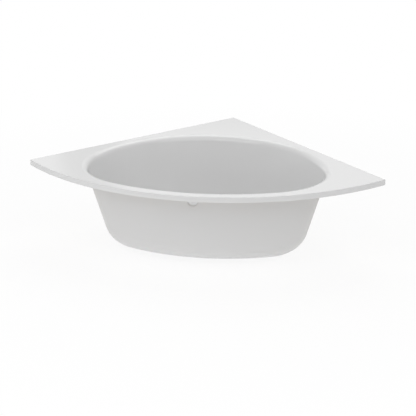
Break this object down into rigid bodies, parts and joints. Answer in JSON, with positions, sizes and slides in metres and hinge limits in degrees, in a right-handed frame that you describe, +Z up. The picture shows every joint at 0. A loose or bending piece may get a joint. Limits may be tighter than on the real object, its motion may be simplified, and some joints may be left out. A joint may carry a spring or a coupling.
{
  "type": "corner bathtub",
  "caption": "White corner bath shell with a quarter-round deck, a rolled-edge oval basin, a down-turned lip, a waste hole and an overflow hole.",
  "frame": {"origin": "on the plane the bath stands on, below the middle of its plan", "axes": "+Z up, +X to the right seen from the front, the bowed front edge faces -Y and the right-angled corner points to +Y"},
  "size_m": [1.977, 1.4363, 0.4793],
  "materials": {
    "acrylic": "white sanitary acrylic, glossy",
    "laminate": "sprayed glass-fibre laminate, white resin, satin",
    "chipboard": "raw chipboard",
    "timber": "planed softwood",
    "zinc_steel": "zinc plated"
  },
  "bodies": {
    "root": {"acrylic_shell": "acrylic", "laminate_skin": "laminate", "base_board": "chipboard", "base_overlay": "laminate", "leg_inserts": "zinc_steel", "left_wall_batten": "timber", "right_wall_batten": "timber", "front_left_batten": "timber", "front_right_batten": "timber", "corner_deck_board": "chipboard", "left_deck_board": "chipboard", "right_deck_board": "chipboard"}
  },
  "joints": []
}
